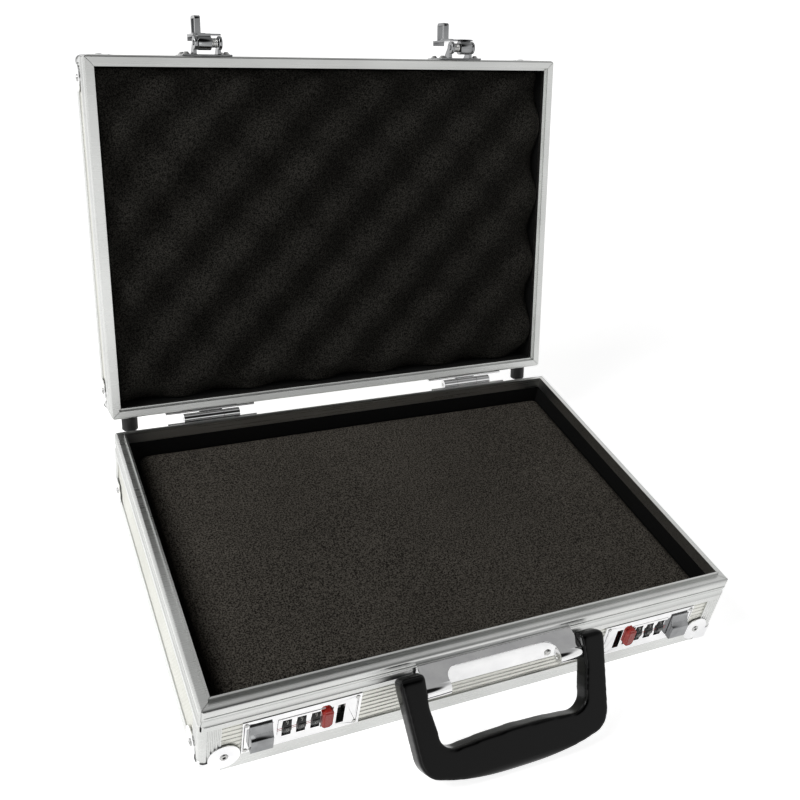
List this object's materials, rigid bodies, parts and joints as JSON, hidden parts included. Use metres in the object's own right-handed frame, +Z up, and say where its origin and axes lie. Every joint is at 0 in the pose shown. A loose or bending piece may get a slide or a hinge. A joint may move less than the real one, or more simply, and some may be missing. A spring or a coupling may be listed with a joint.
{
  "type": "laptop hard case",
  "caption": "Hinged hard case with aluminium edge frames, combination locks, hasps, a fold-down handle, a flat base pad and egg-crate lid foam.",
  "frame": {"origin": "middle of the base's footprint on the table; the base stands on its four corner caps at z = 0", "axes": "+X to the right along the hinge line, +Y to the back, where the hinges are, +Z up; the lid stands open at rest"},
  "size_m": [0.453, 0.54, 0.3963],
  "materials": {
    "satin_aluminium": "satin extruded frames",
    "ribbed_aluminium": "satin ribbed sheet",
    "chrome_plate": "polished plating",
    "rivet_steel": "zinc plated steel",
    "lining_fabric": "black lining cloth on board",
    "pad_foam": "open-cell foam",
    "black_rubber": "dull",
    "handle_plastic": "semi-gloss",
    "red_plastic": "gloss",
    "dial_plastic": "gloss"
  },
  "bodies": {
    "base": {"base_rim": "satin_aluminium", "base_edge_frame": "satin_aluminium", "base_corner_posts": "satin_aluminium", "base_front_panel": "ribbed_aluminium", "base_rear_panel": "ribbed_aluminium", "base_end_panels": "ribbed_aluminium", "base_bottom_panel": "ribbed_aluminium", "base_corner_caps": "chrome_plate", "base_cap_rivets": "rivet_steel", "base_lining_boards": "lining_fabric", "base_foam_pad": "pad_foam", "base_feet": "black_rubber", "lock_plate_left": "chrome_plate", "lock_plate_right": "chrome_plate", "lock_housing_left": "rivet_steel", "lock_housing_right": "rivet_steel", "lock_rivets": "rivet_steel", "dial_axles": "rivet_steel", "handle_bracket": "chrome_plate", "bracket_rivets": "rivet_steel", "hinge_base_leaves": "chrome_plate", "hinge_pins": "rivet_steel", "hinge_base_rivets": "rivet_steel"},
    "lid": {"lid_rim": "satin_aluminium", "lid_edge_frame": "satin_aluminium", "lid_corner_posts": "satin_aluminium", "lid_front_panel": "ribbed_aluminium", "lid_rear_panel": "ribbed_aluminium", "lid_end_panels": "ribbed_aluminium", "lid_top_panel": "ribbed_aluminium", "lid_corner_caps": "chrome_plate", "lid_cap_rivets": "rivet_steel", "lid_lining_boards": "lining_fabric", "lid_foam": "pad_foam", "lid_feet": "black_rubber", "hinge_lid_leaves": "chrome_plate", "hinge_lid_rivets": "rivet_steel", "hasp_bases": "chrome_plate", "hasp_base_rivets": "rivet_steel", "hasp_pins": "rivet_steel", "hasp_springs": "rivet_steel"},
    "handle": {"handle": "handle_plastic", "handle_pins": "rivet_steel"},
    "left_slide": {"left_thumb_slide": "chrome_plate", "left_slide_bar": "rivet_steel", "left_bolt": "rivet_steel"},
    "right_slide": {"right_thumb_slide": "chrome_plate", "right_slide_bar": "rivet_steel", "right_bolt": "rivet_steel"},
    "left_button": {"left_code_button": "red_plastic"},
    "right_button": {"right_code_button": "red_plastic"},
    "left_dial_a": {"left_dial_1": "dial_plastic"},
    "left_dial_b": {"left_dial_2": "dial_plastic"},
    "left_dial_c": {"left_dial_3": "dial_plastic"},
    "right_dial_a": {"right_dial_1": "dial_plastic"},
    "right_dial_b": {"right_dial_2": "dial_plastic"},
    "right_dial_c": {"right_dial_3": "dial_plastic"},
    "left_flap": {"left_hasp": "chrome_plate"},
    "right_flap": {"right_hasp": "chrome_plate"}
  },
  "joints": [
    {"name": "lid_hinge", "type": "hinge", "parent": "base", "child": "lid", "pos_m": [0, 0.1631, 0.0712], "axis": [1, 0, 0], "range_deg": [0, 108.1]},
    {"name": "handle_fold", "type": "hinge", "parent": "base", "child": "handle", "pos_m": [0, -0.1743, 0.057], "axis": [-1, 0, 0], "range_deg": [0, 135]},
    {"name": "left_hasp_turn", "type": "hinge", "parent": "lid", "child": "left_flap", "pos_m": [-0.1215, 0.26832, 0.3841], "axis": [1, 0, 0], "range_deg": [0, 180]},
    {"name": "right_hasp_turn", "type": "hinge", "parent": "lid", "child": "right_flap", "pos_m": [0.1215, 0.26832, 0.3841], "axis": [1, 0, 0], "range_deg": [0, 180]},
    {"name": "left_slide_open", "type": "slide", "parent": "base", "child": "left_slide", "axis": [-1, 0, 0], "range_m": [0, 0.005], "stiffness_N_per_m": 250, "springref_m": -0.004},
    {"name": "right_slide_open", "type": "slide", "parent": "base", "child": "right_slide", "axis": [1, 0, 0], "range_m": [0, 0.005], "stiffness_N_per_m": 250, "springref_m": -0.004},
    {"name": "left_button_press", "type": "slide", "parent": "base", "child": "left_button", "axis": [0, 1, 0], "range_m": [0, 0.0015], "stiffness_N_per_m": 300, "springref_m": -0.002},
    {"name": "right_button_press", "type": "slide", "parent": "base", "child": "right_button", "axis": [0, 1, 0], "range_m": [0, 0.0015], "stiffness_N_per_m": 300, "springref_m": -0.002},
    {"name": "left_dial_1_turn", "type": "hinge", "parent": "base", "child": "left_dial_a", "pos_m": [-0.1624, -0.1501, 0.0345], "axis": [1, 0, 0], "continuous": true},
    {"name": "left_dial_2_turn", "type": "hinge", "parent": "base", "child": "left_dial_b", "pos_m": [-0.1516, -0.1501, 0.0345], "axis": [1, 0, 0], "continuous": true},
    {"name": "left_dial_3_turn", "type": "hinge", "parent": "base", "child": "left_dial_c", "pos_m": [-0.1408, -0.1501, 0.0345], "axis": [1, 0, 0], "continuous": true},
    {"name": "right_dial_1_turn", "type": "hinge", "parent": "base", "child": "right_dial_a", "pos_m": [0.1408, -0.1501, 0.0345], "axis": [1, 0, 0], "continuous": true},
    {"name": "right_dial_2_turn", "type": "hinge", "parent": "base", "child": "right_dial_b", "pos_m": [0.1516, -0.1501, 0.0345], "axis": [1, 0, 0], "continuous": true},
    {"name": "right_dial_3_turn", "type": "hinge", "parent": "base", "child": "right_dial_c", "pos_m": [0.1624, -0.1501, 0.0345], "axis": [1, 0, 0], "continuous": true}
  ]
}
